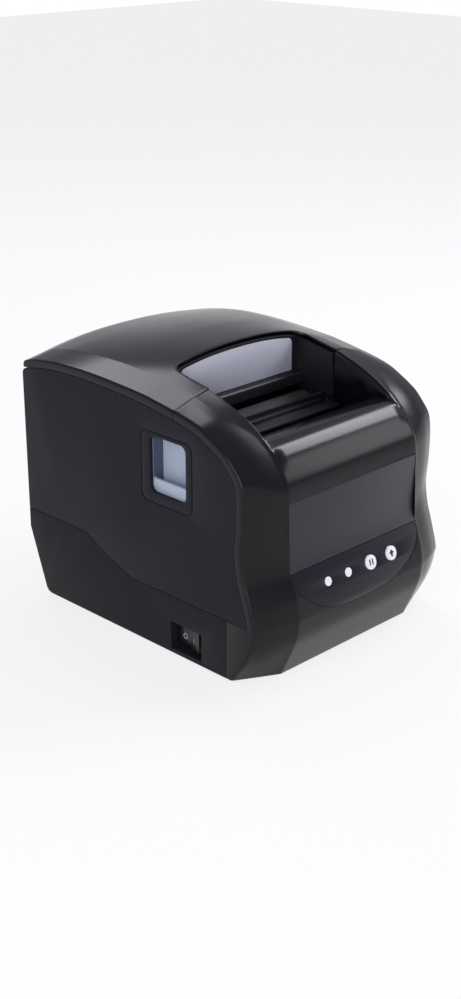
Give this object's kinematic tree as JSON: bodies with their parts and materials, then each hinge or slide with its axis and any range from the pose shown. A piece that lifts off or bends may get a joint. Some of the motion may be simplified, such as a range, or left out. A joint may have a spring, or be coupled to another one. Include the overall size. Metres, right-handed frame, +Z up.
{
  "type": "desktop label printer",
  "caption": "Compact desktop label printer with a curved clamshell lid, viewing window, rounded front exit, tilted key panel, side release cup and power rocker.",
  "frame": {"origin": "middle of the footprint, on the table under the rubber feet", "axes": "+Z up; the nose with the keys faces -Y, the hinge side +Y; +X is the side with the gears, -X the side with the release cup and the power switch"},
  "size_m": [0.15, 0.1914, 0.1566],
  "materials": {
    "case_matte": "fine matt texture",
    "base_matte": "fine matt texture",
    "cover_gloss": "high gloss piano black",
    "insert_satin": "satin grey",
    "panel_gloss": "glossy blue-black",
    "white_plastic": "translucent white",
    "circuit_board": "green solder mask",
    "black_part": "moulded black",
    "frame_black": "moulded black",
    "window_smoke": "smoked clear",
    "steel": "brushed",
    "screw_steel": "zinc plated",
    "platen": "ground rubber",
    "nylon": "natural nylon",
    "ceramic": "glazed ceramic",
    "heat_sink": "extruded",
    "brass": "machined",
    "lever_grey": "blue-grey moulded",
    "guide_grey": "moulded grey",
    "cable_white": "flat film cable",
    "foot_rubber": "soft rubber",
    "switch_black": "glossy black"
  },
  "bodies": {
    "case": {"base_case": "base_matte", "upper_case": "case_matte", "front_cover": "cover_gloss", "front_insert": "insert_satin", "control_panel": "panel_gloss", "status_lenses": "white_plastic", "button_board": "circuit_board", "tact_switches": "black_part", "status_leds": "white_plastic", "hinge_pins": "steel", "chassis": "steel", "head_pin": "steel", "stepper_motor": "steel", "idler_pin": "steel", "paper_bin": "frame_black", "main_board": "circuit_board", "board_parts": "black_part", "power_jack": "black_part", "usb_port": "steel", "rear_panel": "base_matte", "head_cable": "cable_white", "power_switch_body": "switch_black", "gap_sensor": "black_part", "cover_sensor": "black_part", "rubber_feet": "foot_rubber", "base_screws": "screw_steel", "chassis_screws": "screw_steel", "board_screws": "screw_steel"},
    "lid": {"lid_cover": "cover_gloss", "lid_frame": "frame_black", "lid_window": "window_smoke", "lid_screws": "screw_steel", "platen_bushes": "nylon"},
    "platen": {"platen_shaft": "steel", "platen_rubber": "platen", "platen_gear": "nylon"},
    "idler": {"idler_gear": "nylon"},
    "drive_pinion": {"motor_pinion": "brass"},
    "latch": {"latch_shaft": "steel", "latch_hooks": "steel", "release_lever": "lever_grey", "latch_spring": "steel"},
    "print_head": {"head_bracket": "steel", "thermal_head": "ceramic", "head_heatsink": "heat_sink", "head_springs": "steel", "tear_blade": "steel"},
    "rocker": {"power_rocker": "switch_black"},
    "pause_key": {"pause_button": "white_plastic"},
    "feed_key": {"feed_button": "white_plastic"},
    "left_guide": {"roll_guide_left": "guide_grey"},
    "right_guide": {"roll_guide_right": "guide_grey"},
    "guide_gear": {"guide_pinion": "nylon"}
  },
  "joints": [
    {"name": "lid_hinge", "type": "hinge", "parent": "case", "child": "lid", "pos_m": [0, 0.0922, 0.1327], "axis": [-1, 0, 0], "range_deg": [0, 95]},
    {"name": "platen_spin", "type": "hinge", "parent": "lid", "child": "platen", "pos_m": [0, -0.013, 0.113], "axis": [1, 0, 0], "continuous": true},
    {"name": "idler_spin", "type": "hinge", "parent": "case", "child": "idler", "pos_m": [0.0585, -0.01697, 0.09258], "axis": [1, 0, 0], "continuous": true},
    {"name": "motor_spin", "type": "hinge", "parent": "case", "child": "drive_pinion", "pos_m": [0.0585, -0.01331, 0.07537], "axis": [1, 0, 0], "continuous": true},
    {"name": "latch_turn", "type": "hinge", "parent": "case", "child": "latch", "pos_m": [0, -0.0315, 0.081], "axis": [1, 0, 0], "range_deg": [0, 7.5], "stiffness_Nm_per_rad": 0.6, "springref_deg": -11.46},
    {"name": "head_pivot", "type": "hinge", "parent": "case", "child": "print_head", "pos_m": [0, -0.029, 0.098], "axis": [1, 0, 0], "range_deg": [0, 1.5], "stiffness_Nm_per_rad": 4, "springref_deg": -2.86},
    {"name": "rocker_tilt", "type": "hinge", "parent": "case", "child": "rocker", "pos_m": [-0.0641, -0.0361, 0.0116], "axis": [0, 0, 1], "range_deg": [0, 14]},
    {"name": "pause_press", "type": "slide", "parent": "case", "child": "pause_key", "axis": [0, 0.9492, -0.3146], "range_m": [0, 0.0008], "stiffness_N_per_m": 300, "springref_m": -0.001},
    {"name": "feed_press", "type": "slide", "parent": "case", "child": "feed_key", "axis": [0, 0.9492, -0.3146], "range_m": [0, 0.0008], "stiffness_N_per_m": 300, "springref_m": -0.001},
    {"name": "guide_left_slide", "type": "slide", "parent": "case", "child": "left_guide", "axis": [1, 0, 0], "range_m": [0, 0.03]},
    {"name": "guide_right_slide", "type": "slide", "parent": "case", "child": "right_guide", "axis": [-1, 0, 0], "range_m": [0, 0.03]},
    {"name": "guide_gear_spin", "type": "hinge", "parent": "case", "child": "guide_gear", "pos_m": [0, 0.045, 0.0195], "axis": [0, 0, 1], "range_deg": [-272, 0]}
  ],
  "couplings": [
    {"joint": "idler_spin", "follows": "platen_spin", "ratio": -0.85714},
    {"joint": "motor_spin", "follows": "platen_spin", "ratio": 1.5},
    {"joint": "guide_right_slide", "follows": "guide_left_slide", "ratio": 1},
    {"joint": "guide_gear_spin", "follows": "guide_left_slide", "rad_per_m": -156.25}
  ]
}
